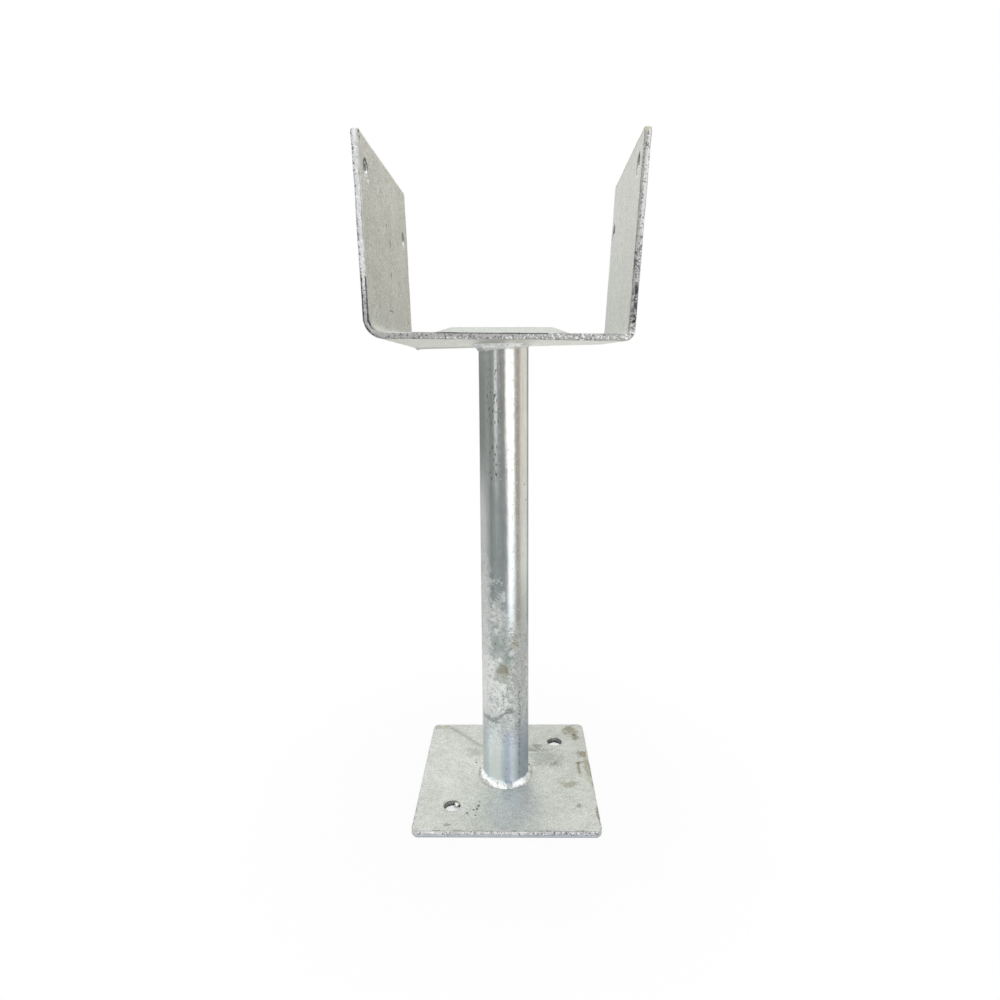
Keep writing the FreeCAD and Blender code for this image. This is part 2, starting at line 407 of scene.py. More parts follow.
# Dark marks on the saddle's inner faces: along, across, and their half sizes across and along
SCRATCHES = [(-115, -3.6, 1.1, 1.0), (-108, 2.9, 0.9, 1.8), (-91, 1.5, 0.5, 2.0),
             (-109, -21, 0.5, 1.2), (-130, -12, 0.6, 1.2), (-70, 40, 0.5, 1.5),
             (-72, -4, 3.5, 0.35), (-62, -17, 1.2, 0.6), (91, 12.5, 1.0, 0.5), (99, 12, 0.4, 1.6)]

# Drops of bright zinc below the upper bolt holes: along and across
DROPS = [(-HALF_INSIDE - 70.0, -36.4), (HALF_INSIDE + 68.0, -38.4)]
# Dark spots near the left flange's tip: place across and along, and their half sizes
SPOTS = [((-48.3, -144), (1.3, 1.9)), ((-49.3, -148.3), (0.9, 0.8))]


def sheared_edge(finish, mask, tone, dark_share, glint_share):
    """The torn end of a sheared sheet: crisp painted glints and dark painted reflections, as
    flecks on a grey ground.
    """
    tree = finish.tree
    band, plus, times = tree.band, tree.plus, tree.times
    torn = tree.noise(finish.place, 800, 3, 0.7)
    drift = tree.add("TexNoise", {"Vector": finish.place, "Scale": 900.0}).outputs["Color"]
    drift = tree.mix(1.0, drift, 1.2 * MM, "MULTIPLY")
    warped = tree.add("VectorMath", {0: finish.place, 1: drift}, operation="ADD").outputs[0]
    pick, pale, _ = tree.split(tree.cells(warped, 1600)[1])
    finish.dull(mask, 0.32)
    finish.tinge(mask, tone, "MIX")
    # painted glints as white flecks, and painted dark reflections as dark flecks
    painted_glints = band(plus(pale, glint_share), 0.96, 1.04)
    finish.tinge(times(mask, painted_glints), 1.0, "MIX")
    dark = band(plus(pick, dark_share), 0.96, 1.04)
    finish.tinge(times(mask, dark), (0.36, 0.345, 0.36))
    finish.emboss(times(mask, torn), 0.8, 0.8 * MM)
    finish.emboss(times(mask, pale), 0.6, 0.25 * MM)


def saddle_finish():
    """Dull spangled zinc. along, depth and across place a point on the unfolded strip."""
    finish = Finish("saddle_finish", 0.715, PALE_ZINC, 0.42, mottle=0.055, grain=2.4)
    tree = finish.tree
    band, near, plus, times, wave = tree.band, tree.near, tree.plus, tree.times, tree.noise
    sheet = tree.add("Attribute", attribute_name="sheet").outputs["Vector"]
    along, depth, across = tree.split(sheet)
    edge = tree.add("Attribute", attribute_name="edge").outputs["Fac"]
    wobble = tree.spread(wave(finish.place, 420, 2, 0.6), 0.5)
    breaks = band(wave(finish.place, 260, 2, 0.6), 0.40, 0.56)
    sheared = band(edge, 0.20, 0.60, 1.0, 0.0)
    rim = band(edge, 0.6, 1.2, 1.0, 0.0)
    inner = band(depth, 0.3, 0.8, 1.0, 0.0)
    finish.pits(7 * MM, 0.5 * MM, 0.25)
    # pale flecks on the faces
    away, cell = tree.cells(finish.place, 200)
    fleck = times(band(away, 0.07, 0.14, 1.0, 0.0), band(tree.split(cell)[1], 0.65, 0.67))
    finish.tinge(times(fleck, 0.8), 1.0, "MIX")
    left_face = times(inner, band(along, -54, -66))
    speckle = wave(finish.place, 850, 2, 0.6)
    finish.tinge(left_face, (0.96, 0.935, 0.915))
    finish.tinge(times(inner, band(along, 54, 66)), (0.975, 0.96, 0.955))
    finish.tinge(times(left_face, band(speckle, 0.36, 0.48, 0.7, 0.0)), 0.80)
    finish.tinge(times(left_face, band(speckle, 0.56, 0.66, 0.0, 0.35)), 1.0, "MIX")
    # the outer faces and the floor's underside, with painted light making them paler to the right
    below = band(depth, SHEET - 0.8, SHEET - 0.3)
    finish.tinge(below, tree.mix(band(along, -5, 12), (1.0, 0.995, 0.965), (1.08, 1.075, 1.05)))
    ragged = tree.spread(finish.patches, 0.6)
    for s, y, reach_y, reach_s in SCRATCHES:
        mark = tree.blot(across, along, (y, s), (reach_y, reach_s), ragged)
        finish.tinge(times(mark, inner), 0.36)
    # grey streaks under the floor, parallel to its back edge: a painted reflection
    under = times(below, near(along, -34, 20, 8))
    run_and_reflection = near(plus(across, wobble, times(along, 0.10)), 32, 5.0, 5.0)
    finish.tinge(times(under, run_and_reflection, 0.8), (0.60, 0.61, 0.60))
    # drops of bright zinc on the inner faces, just below the upper bolt holes
    for s, y in DROPS:
        drop = tree.blot(across, along, (y, s), (1.5, 1.7), times(ragged, 0.4))
        finish.tinge(times(drop, inner), 1.0, "MIX")
        finish.dull(times(drop, inner), 0.2)
        finish.emboss(times(drop, inner), 0.6, 0.8 * MM)
    # the bores, with zinc pooled in them
    bore = times(near(depth, SHEET / 2, 1.0, 0.3), band(edge, 1.6, 2.4))
    finish.dull(bore, 0.14)
    finish.emboss(times(bore, finish.patches), 0.9, 1.4 * MM)
    finish.tinge(bore, 0.92, "MIX")
    part_x, part_y, part_z = tree.split(finish.place)
    for name in ("upper_post_bolt", "lower_post_bolt"):
        middle, axis = Vector(mount(name)["pos_m"]), Vector(mount(name)["axis"])
        slope = axis.z / axis.x
        height = plus(part_z, times(part_x, -slope), middle.x * slope - middle.z)
        shaded = times(near(part_y, middle.y, 0.009, 0.001), band(height, 0.0, 1.2 * MM))
        finish.tinge(times(bore, shaded), (0.46, 0.46, 0.45))
    # the sheared edge: most painted glints and dark flecks of painted reflection on the left, a
    # greyer ground under the floor and on the right
    left_side = band(along, -72, -84)
    right_side = band(along, 60, 64)
    uneven = plus(depth, times(wobble, 0.6))
    inner_part = near(uneven, 0.6, 0.55, 0.5)
    outer_part = near(uneven, 2.9, 0.35, 0.4)
    floor_part = tree.rest(tree.either(left_side, right_side))
    right_grey = tree.either(inner_part, times(near(along, 78, 20, 4), 0.7))
    grey = tree.either(floor_part, times(right_side, right_grey))
    ground = tree.mix(grey, (0.84, 0.84, 0.85), (0.54, 0.53, 0.52))
    painted_glints = plus(times(left_side, 0.40), times(right_side, outer_part, 0.30),
                  times(floor_part, band(along, -20, 55, 0.02, 0.30)),
                  times(floor_part, near(along, -12, 18, 8), near(depth, 2.7, 0.3, 0.4), 0.35))
    dark = plus(times(left_side, outer_part, 0.45),
                times(right_side, band(along, 110, 80, 0.12, 0.40)), times(floor_part, 0.14))
    sheared_edge(finish, sheared, ground, dark, painted_glints)
    # painted shade in furrows round the left bend, and dark patches on the right one
    left_foot = near(along, -70.0, 11.5, 2.0)
    winding = plus(depth, times(wobble, 0.4))
    furrow_shade = tree.either(near(winding, 0.75, 0.14, 0.30), near(winding, 2.75, 0.20, 0.40))
    finish.tinge(times(sheared, furrow_shade, left_foot, band(breaks, 0.0, 0.3, 0.75, 1.0)),
                 (0.10, 0.09, 0.12))
    right_foot = times(near(along, 70.5, 7.0, 2.0), near(depth, 2.5, 0.9, 0.5))
    finish.tinge(times(sheared, right_foot, band(breaks, 0.0, 0.6, 0.35, 1.0)), (0.14, 0.14, 0.18))
    # the arrises: a painted shadow line under the seat plate, painted white highlights beside it
    # and up the left
    seat_shadow_line = times(near(along, -3.0, 25.0, 1.0), near(depth, 0.20, 0.25, 0.35))
    finish.tinge(times(rim, seat_shadow_line), (0.22, 0.22, 0.25))
    arris_highlight = times(near(depth, 0.1, 0.22, 0.30),
                  tree.either(band(along, -100, -64, 0.8, 0.0), near(along, -47, 7, 2),
                              near(along, 24, 0.8, 0.5)))
    finish.tinge(times(rim, arris_highlight), 1.0, "MIX")
    finish.patina(sheared, 0.45)
    inmost = times(left_side, near(plus(depth, times(wobble, 0.5)), 0.35, 0.35, 0.25))
    finish.tinge(times(sheared, inmost, band(breaks, 0.0, 0.5, 1.0, 0.5)), (0.62, 0.61, 0.58))
    # a cream crust on the right tip, dark spots at the left one
    cap = times(band(plus(along, wobble), HALF_INSIDE + 82, HALF_INSIDE + 83.2),
                band(edge, 1.2, 2.2, 1.0, 0.0))
    finish.tinge(cap, (0.72, 0.68, 0.56), "MIX")
    finish.dull(cap, 0.6)
    for place, reach in SPOTS:
        finish.tinge(times(inner, tree.blot(across, along, place, reach, ragged)), 0.25)
    return finish.finish()


def seat_finish():
    finish = Finish("seat_finish", 0.76, PALE_ZINC, 0.48, mottle=0.03)
    finish.pits(6 * MM, 0.4 * MM, 0.15)
    return finish.finish()


# Stains on the base plate's top, in millimetres: centre, half sizes, colour and strength
STAINS = [
    ((23, 13), (10, 7), (0.70, 0.72, 0.70), 0.8),
    ((19.5, 25), (4, 2), (0.50, 0.50, 0.47), 0.8),
    ((16, 21), (4.5, 2.2), (0.58, 0.58, 0.55), 0.7),
    ((29, 6), (4.5, 2.5), (0.64, 0.64, 0.61), 0.8),
    ((41, 42), (4, 5), (0.56, 0.53, 0.44), 0.9),
    ((44, 35), (2.2, 3.5), (0.50, 0.47, 0.38), 0.9),
    ((46, 16.5), (2.5, 3), (0.52, 0.47, 0.38), 0.9),
    ((43, 3), (1.1, 6.5), (0.55, 0.52, 0.43), 0.9),
    ((43.8, 8), (2.2, 1.0), (0.38, 0.33, 0.25), 0.9),
    ((36, -12.5), (5, 2.4), (0.66, 0.64, 0.56), 0.8),
    ((48, 3), (1.6, 11), (0.66, 0.62, 0.52), 0.8),
    ((39.5, -30.5), (1.8, 1.4), (0.52, 0.50, 0.45), 0.9),
    ((49, -36), (1.4, 4), (0.50, 0.45, 0.38), 0.9),
    ((-20, 18), (5, 5), (0.76, 0.77, 0.76), 0.8),
    ((-31, -45), (2.0, 1.0), 0.50, 0.8),
    ((-45, 46), (5, 2), (0.74, 0.70, 0.62), 0.8),
]
# Broad tones of the top: centre, half sizes and colour
TONES = [((36, 10), (34, 46), (0.91, 0.91, 0.90)), ((4, -32), (16, 18), (0.94, 0.94, 0.975)),
         ((-30, -42), (28, 14), 0.96), ((16, 38), (26, 14), (0.93, 0.93, 0.92)),
         ((-30, 38), (24, 14), 0.94)]
# Dark specks on it: centre and radius
SPECKS = [(-15.4, -30.4, 0.8), (-16.2, -33.0, 0.9), (-15.3, -27.1, 0.5), (-18.0, -33.7, 0.5),
          (-16.7, -38.1, 0.6), (-21.4, -36.3, 0.6), (-19, 8, 0.6), (-21, -2, 0.5)]


def plate_finish():
    """Stained zinc. x, y and z are in millimetres from the middle of the plate's underside."""
    finish = Finish("plate_finish", 0.705, PALE_ZINC, 0.36, mottle=0.045, grain=1.8)
    tree = finish.tree
    band, near, plus, times, wave = tree.band, tree.near, tree.plus, tree.times, tree.noise
    x, y, z = tree.millimetres(finish.place)
    torn = tree.spread(wave(finish.place, 260, 5, 0.7), 0.75, 0.25)
    ragged = plus(torn, tree.spread(finish.grain, 0.25))
    top = band(z, 3.2, 3.7)
    crackle = near(wave(finish.place, 130, 5, 0.62, 0.8), 0.5, 0.004, 0.018)
    finish.tinge(times(crackle, top, 0.5), (0.76, 0.77, 0.76))
    for centre, reach, colour in TONES:
        tone = tree.blot(x, y, centre, reach, times(torn, 0.3), 1.2)
        finish.tinge(times(tone, top), colour)
    for centre, reach, colour, strength in STAINS:
        stain = tree.blot(x, y, centre, reach, ragged, 0.9)
        finish.tinge(times(stain, top, strength), colour)
    # a dark diagonal run behind the leg on the left
    slant = times(plus(x, y), math.sqrt(0.5))
    travel = times(plus(x, times(y, -1.0)), math.sqrt(0.5))
    run_and_reflection = times(near(plus(slant, times(ragged, 1.2)), 5.6, 0.7, 1.3), near(travel, -44, 13, 5))
    finish.tinge(times(run_and_reflection, top, 0.8), (0.70, 0.70, 0.68))
    for across, along, size in SPECKS:
        speck = tree.blot(x, y, (across, along), (size, size), times(ragged, 0.8), 0.4)
        finish.tinge(times(speck, top), 0.30)
    finish.pits(7 * MM, 0.45 * MM, 0.35)
    rusty = band(tree.split(tree.cells(finish.place, 280)[1])[0], 0.72, 0.80)
    sideways = tree.math("MAXIMUM", tree.math("ABSOLUTE", x), tree.math("ABSOLUTE", y))
    rim = times(band(sideways, 48.6, 49.4), top, rusty)
    finish.tinge(times(rim, 0.8), (0.45, 0.43, 0.41))
    # the anchor holes' walls, with painted shade that is darkest at the bottom
    for side in (-1, 1):
        place = (side * ANCHOR, side * ANCHOR)
        bore = times(tree.blot(x, y, place, (4.9, 4.9), 0.0, 0.08), band(z, 3.1, 3.8, 1.0, 0.0))
        finish.tinge(bore, tree.ramp(band(plus(z, torn), 0.9, 2.2),
                                     [(0, (0.22, 0.24, 0.25)), (1, 0.66)]))
        finish.dull(bore, 0.20)
    # the sheared sides: ragged above, with painted glints and dark painted reflections, smooth and
    # bluish below
    sheared = band(sideways, 49.35, 49.75)
    torn_half = times(sheared, band(plus(z, times(torn, 0.5)), 1.7, 2.0))
    smooth_half = tree.ramp(band(z, 0.2, 1.6),
                            [(0, (0.34, 0.35, 0.38)), (0.4, (0.62, 0.66, 0.71)),
                             (1, (0.76, 0.80, 0.84))])
    finish.tinge(sheared, smooth_half, "MIX")
    finish.dull(sheared, 0.30)
    sheared_edge(finish, torn_half, 0.68, band(x, -40, 45, 0.12, 0.24),
                 band(wave(finish.place, 70, 2, 0.5), 0.35, 0.65, 0.20, 0.55))
    finish.tinge(times(torn_half, band(x, -10, 40, 0.0, 0.5)), (0.96, 0.92, 1.0))
    finish.patina(torn_half, 0.4)
    return finish.finish()


# Islands and stains on the leg, in millimetres round it from the front and up it
ISLANDS = [((-2.5, 86), (5.0, 9.5), (0.47, 0.53, 0.51), 0.85),
           ((2.0, 77), (3.5, 5.0), (0.47, 0.53, 0.51), 0.85),
           ((-1.0, 68), (5.0, 4.5), (0.50, 0.53, 0.48), 0.8),
           ((5.4, 85), (1.8, 3.0), (0.36, 0.35, 0.27), 0.9),
           ((6.5, 92), (2.2, 7.0), (0.50, 0.50, 0.46), 0.6),
           ((-0.5, 70), (2.6, 3.2), (0.38, 0.37, 0.29), 0.9),
           ((9.0, 72), (3.5, 18.0), (0.58, 0.60, 0.58), 0.55),
           ((9.5, 50), (4.0, 12.0), (0.55, 0.58, 0.59), 0.55)]


def pipe_finish():
    """Drawn pipe: bright at the head, mottled lower down. z is in millimetres up the leg."""
    finish = Finish("pipe_finish", 0.66, BLUE_ZINC, 0.14, mottle=0.02, grain=0.15)
    tree = finish.tree
    band, near, plus, times, wave = tree.band, tree.near, tree.plus, tree.times, tree.noise
    local = tree.add("Mapping", {"Vector": finish.place, "Location": leg_foot,
                                 "Rotation": leg_frame.to_euler()},
                     vector_type="TEXTURE").outputs[0]
    x, y, z = tree.millimetres(local)
    turn = tree.turn(x, y)
    arc = times(turn, math.radians(leg_radius / MM))
    facing = tree.facing(turn)
    drawn = tree.add("Mapping", {"Vector": local, "Scale": (1.0, 1.0, 0.07)}).outputs[0]
    streaks = wave(drawn, 900, 3, 0.6)
    broad = wave(drawn, 260, 2, 0.5)
    finish.tinge(band(streaks, 0.35, 0.65, 0.30, 0.0), (0.74, 0.76, 0.76))
    finish.emboss(broad, 0.04, 0.5 * MM)
    finish.emboss(streaks, 0.03, 0.2 * MM)
    finish.tinge(band(z, 120, 225), (1.05, 1.0, 0.965))
    # the zinc is brightest near the head and grows duller and grainier on the way down
    coarse = wave(local, 1000, 3, 0.7)
    away, cell = tree.cells(local, 1100)
    sparkle = times(near(turn, 26, 4, 7), band(z, 90, 130), band(tree.split(cell)[0], 0.70, 0.72),
                    band(away, 0.25, 0.40, 1.0, 0.0))
    duller = band(z, 215, 95)
    finish.dull(times(duller, 0.75), 0.28)
    finish.emboss(times(band(z, 235, 120, 0.15, 1.0), coarse), 0.18, 0.35 * MM)
    finish.emboss(sparkle, 0.7, 0.3 * MM)
    # paler mottled zinc lower down, on the left side first
    clouds = tree.spread(wave(local, 120, 5, 0.7), 22, 0.25)
    fine = tree.spread(wave(local, 700, 3, 0.7), 13, 0.25)
    shift = times(facing, plus(band(turn, -62, -28, 46, 0), band(turn, -2, 6, 0, -22)))
    front_z = plus(z, clouds, fine, times(shift, -1.0))
    above_foot = band(plus(z, times(clouds, 0.4), times(fine, 0.9)), 22, 48)
    matt = times(band(front_z, 78, 116, 1.0, 0.0), above_foot)
    mottle = wave(local, 420, 5, 0.75)
    ragged = plus(tree.spread(wave(local, 260, 5, 0.7), 0.7, 0.25), tree.spread(mottle, 0.3))
    pale = times(matt, band(mottle, 0.41, 0.51, 0.0, 1.0))
    finish.tinge(times(matt, 0.80), (0.46, 0.50, 0.50), "MIX")
    finish.tinge(pale, (0.90, 0.91, 0.88), "MIX")
    finish.dull(matt, 0.46)
    haze = times(facing, band(turn, -64, -28, 0.9, 0.0), band(z, 205, 155))
    finish.tinge(haze, (0.93, 0.945, 0.925), "MIX")
    finish.dull(haze, 0.42)
    finish.patina(tree.either(times(matt, 0.8), haze), 0.75)
    veins = times(matt, near(wave(local, 200, 5, 0.65, 0.7), 0.5, 0.006, 0.020))
    finish.tinge(times(veins, 0.8), (0.58, 0.62, 0.62))
    # raised curls of zinc, painted white as highlights on them
    curls_and_highlights = times(matt, near(wave(local, 190, 4, 0.6, 1.2), 0.47, 0.014, 0.012))
    finish.tinge(times(curls_and_highlights, 0.9), (0.98, 0.99, 0.97), "MIX")
    finish.emboss(curls_and_highlights, 0.7, 0.5 * MM)
    # painted dark reflection on the front right, below about 115 mm
    finish.tinge(times(facing, band(turn, 12, 34), band(z, 130, 100)), (0.74, 0.74, 0.73))
    finish.emboss(times(matt, mottle), 1.0, 0.9 * MM)
    # painted reflection: brighter on the left front, about 60 mm up
    finish.tinge(times(facing, near(z, 60, 14, 8), band(turn, 8, -12)), 1.17)
    for centre, reach, colour, strength in ISLANDS:
        island = tree.blot(arc, z, centre, reach, ragged, 0.8)
        finish.tinge(times(island, strength), colour, "MIX")
        finish.dull(times(island, strength), 0.38)
    # the edge of a run of zinc, wandering round the leg above the smooth foot
    wander = band(turn, -24, 6, 0, 6.5)
    line = near(plus(z, times(wander, -1.0), times(ragged, 1.8)), 39.5, 0.55, 1.1)
    finish.tinge(times(line, near(turn, -22, 40, 8), 0.85), (0.45, 0.48, 0.49))
    # smooth bluish foot, with painted reflections in bands round it, darker to the right
    foot = band(plus(z, times(fine, 0.5), times(clouds, 0.2)), 24, 44, 1.0, 0.0)
    finish.tinge(times(foot, 0.8), (0.83, 0.93, 0.96), "MIX")
    finish.dull(times(foot, 0.9), 0.34)
    finish.tinge(times(foot, band(mottle, 0.40, 0.60, 0.7, 0.0)), (0.86, 0.87, 0.88))
    finish.emboss(times(foot, mottle), 0.6, 0.5 * MM)
    # painted reflections: darker at the front, brighter left of it, violet right of it, dark on
    # the right and darker on the far left
    finish.tinge(times(foot, near(turn, 0, 7, 9)), (0.80, 0.81, 0.86))
    finish.tinge(times(foot, near(turn, -24, 12, 14)), (1.28, 1.27, 1.24))
    finish.tinge(times(foot, near(turn, 12, 5, 8)), (1.0, 0.97, 1.06))
    finish.tinge(times(facing, foot, band(turn, 18, 40)), (0.60, 0.61, 0.67))
    finish.tinge(times(facing, foot, band(turn, -38, -62)), 0.80)
    trail = times(near(plus(turn, times(ragged, 1.5)), 37, 1.2, 2.2), near(z, 32, 24, 8),
                  band(wave(local, 1000, 2, 0.6), 0.50, 0.56))
    finish.tinge(times(trail, 0.8), (0.42, 0.45, 0.48))
    finish.emboss(trail, 0.8, 0.4 * MM)
    # pits and dirt, thickest on the upper left
    finish.pits(4.2 * MM, 0.42 * MM, 0.30, dark=0.25)
    smeared = tree.add("Mapping", {"Vector": local, "Scale": (1.0, 1.0, 0.35)}).outputs[0]
    dirt = times(near(turn, -26, 12, 8), near(z, 208, 24, 12),
                 band(wave(smeared, 1000, 3, 0.75), 0.58, 0.62))
    finish.tinge(dirt, (0.25, 0.28, 0.28))
    finish.emboss(dirt, 0.8, 0.4 * MM)
    return finish.finish()


def weld_finish():
    """Thick bright zinc on both beads and the clot. z is the height, in millimetres."""
    finish = Finish("weld_finish", 0.80, (0.98, 1.0, 0.985), 0.16, mottle=0.06, grain=0.4)
    tree = finish.tree
    band, near, plus, times, wave = tree.band, tree.near, tree.plus, tree.times, tree.noise
    x, y, z = tree.millimetres(finish.place)
    turn = tree.turn(x, y)
    facing = tree.facing(turn)
    wavy = tree.spread(finish.patches, 9.0)
    foot, head = band(z, 30, 20), band(z, 200, 210)
    glint = tree.either(near(plus(turn, wavy), -40, 32, 5),
                        times(near(plus(turn, times(wavy, 0.5)), 26, 11, 4),
                              near(plus(z, times(wavy, 0.04)), 5.6, 0.7, 0.4)))
    finish.tinge(times(foot, near(turn, 14, 20, 10)), (0.70, 0.73, 0.74))
    finish.tinge(times(facing, foot, band(turn, 40, 60)), (0.80, 0.80, 0.78))
    finish.tinge(times(foot, glint), 1.0, "MIX")
    # a painted white glint along the head bead's crest, round the front left
    crest_glint = band(plus(z, times(wavy, 0.12), times(facing, band(turn, -70, -20, 1.2, 0.0))),
                 251.4, 252.2)
    finish.tinge(times(crest_glint, near(turn, -20, 58, 12)), 1.0, "MIX")
    finish.tinge(times(head, band(finish.grain, 0.62, 0.66)), 0.35)
    finish.emboss(wave(finish.place, 150, 1.0, 0.4), 0.7, 2.4 * MM)
    finish.patina(head, 0.7)
    creases = near(wave(finish.place, 260, 2, 0.5, 0.6), 0.5, 0.006, 0.012)
    finish.tinge(times(creases, 0.6), (0.52, 0.54, 0.55))
    finish.emboss(wave(finish.place, 520, 2.0, 0.5), 0.5, 0.5 * MM)
    finish.pits(4.0 * MM, 0.45 * MM, 0.35, dark=0.30)
    return finish.finish()


# ------------------------------ shapes

def new_piece(name, points, faces, node, material, attributes=()):
    """A smooth mesh on the root body, held inside the CAD's box, in place of a node or None."""
    mesh = bpy.data.meshes.new(name)
    points = np.clip(np.array([tuple(point) for point in points]), cad_low, cad_high)
    mesh.from_pydata(points.tolist(), [], faces)
    mesh.polygons.foreach_set("use_smooth", [True] * len(mesh.polygons))
    for label, kind, field, values in attributes:
        layer = mesh.attributes.new(label, kind, "POINT")
        layer.data.foreach_set(field, np.ravel(values))
    mesh.update()
    piece = bpy.data.objects.new(name, mesh)
    bpy.context.scene.collection.objects.link(piece)
    mesh.materials.append(material)
    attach(piece, "root")
    if node:
        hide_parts(node)
    return piece


def remeshed(node, voxel):
    """The points and faces of a CAD node, rebuilt as an even fine mesh."""
    copy = bpy.data.objects.new("copy", frame["nodes"][node].data.copy())
    bpy.context.scene.collection.objects.link(copy)
    modifier = copy.modifiers.new("even", "REMESH")
    modifier.mode = "VOXEL"
    modifier.voxel_size = voxel
    result = copy.evaluated_get(bpy.context.evaluated_depsgraph_get()).to_mesh()
    points = np.empty(len(result.vertices) * 3)
    result.vertices.foreach_get("co", points)
    faces = [list(polygon.vertices) for polygon in result.polygons]
    bpy.data.objects.remove(copy)
    return points.reshape(-1, 3), faces


def to_local(points, matrix):
    inverse = np.array(matrix.inverted())
    return points @ inverse[:3, :3].T + inverse[:3, 3]


def to_part(points, matrix):
    forward = np.array(matrix)
    return points @ forward[:3, :3].T + forward[:3, 3]


def step(values, low, high):
    """Smooth step from 0 at low to 1 at high, on an array."""
    share = np.clip((values - low) / (high - low), 0, 1)
    return share * share * (3 - 2 * share)


def lumps(points, size, seed):
    """Fractal noise between about -1 and 1, with features of the given size."""
    offset = Vector((seed, 2 * seed, -seed))
    return np.array([noise.fractal(Vector(point) / size + offset, 1.0, 2.0, 3)
                     for point in points])


def sheet_place(local):
    """Where points of the saddle lie on its unfolded sheet.

    Takes saddle coordinates in millimetres. Gives the way along the strip from the middle
    of the floor, the depth below the inner face and the direction in which depth grows.
    """
    x, z = local[:, 0], local[:, 2]
    along = x.copy()
    depth = SHEET - z
    down = np.zeros((len(x), 2))
    down[:, 1] = -1
    for side in (-1, 1):
        lean, radius = LEAN[side], BEND[side]
        up = np.array((side * math.sin(lean), math.cos(lean)))
        out = np.array((side * math.cos(lean), -math.sin(lean)))
        corner = np.array((side * HALF_INSIDE, SHEET))
        half_angle = (math.pi / 2 + lean) / 2
        reach = radius / math.tan(half_angle)
        centre = corner + reach * up - out * radius
        from_corner = np.column_stack((x, z)) - corner
        from_centre = np.column_stack((x, z)) - centre
        climb = from_corner @ up
        on_flange = (from_centre @ up > 0) & (side * x > HALF_INSIDE / 2)
        on_bend = ~on_flange & (side * from_centre[:, 0] > 0)
        along[on_flange] = side * (HALF_INSIDE + climb[on_flange])
        depth[on_flange] = (from_corner @ out)[on_flange]
        down[on_flange] = out
        distance = np.linalg.norm(from_centre, axis=1)
        swing = np.arctan2(side * from_centre[:, 0], -from_centre[:, 1])
        share = swing / (math.pi / 2 - lean)
        along[on_bend] = (side * (HALF_INSIDE - reach + 2 * reach * share))[on_bend]
        depth[on_bend] = (distance - radius)[on_bend]
        down[on_bend] = (from_centre / distance[:, None])[on_bend]
    return along, depth, down


def twist_rise(local):
    """How far the welder's heat lifted or sank each point of the saddle's floor."""
    fade = 1 - step(local[:, 2], 10, 75)
    return (PITCH + TWIST * local[:, 0] / HALF_INSIDE) * local[:, 1] * fade


def outline_place(local):
    """Each point's place in its flange's own plane, with the flange's sway taken out.

    Gives the way across the strip, the distance from the nearest sheared edge and the
    direction, across and up, in which that edge lies.
    """
    side = np.where(local[:, 0] < 0, -1, 1)
    sway = np.where(side < 0, SWAY[-1], SWAY[1])
    tip = np.where(side < 0, TIP[-1], TIP[1])
    bend_top = SHEET + np.where(side < 0, BEND[-1], BEND[1])
    climb = np.maximum(local[:, 2] - bend_top, 0)
    across = local[:, 1] + np.sin(sway) * tip / (tip - bend_top) * climb
    height = local[:, 2] - np.sin(sway) * local[:, 1] * step(local[:, 2], 20, 60)
    from_front = HALF_DEPTH - np.abs(across)
    from_tip = tip - height
    edge = np.minimum(from_front, from_tip)
    toward = np.where((from_front < from_tip)[:, None],
                      np.column_stack((np.sign(across), np.zeros(len(across)))),
                      np.array((0.0, 1.0)))
    corner = (from_front < CORNER) & (from_tip < CORNER)
    spoke = np.column_stack((CORNER - from_front, CORNER - from_tip))
    reach = np.maximum(np.linalg.norm(spoke, axis=1), 1e-6)
    edge = np.where(corner, CORNER - reach, edge)
    turned = np.column_stack((np.sign(across) * spoke[:, 0], spoke[:, 1])) / reach[:, None]
    toward = np.where(corner[:, None], turned, toward)
    return across, edge, toward


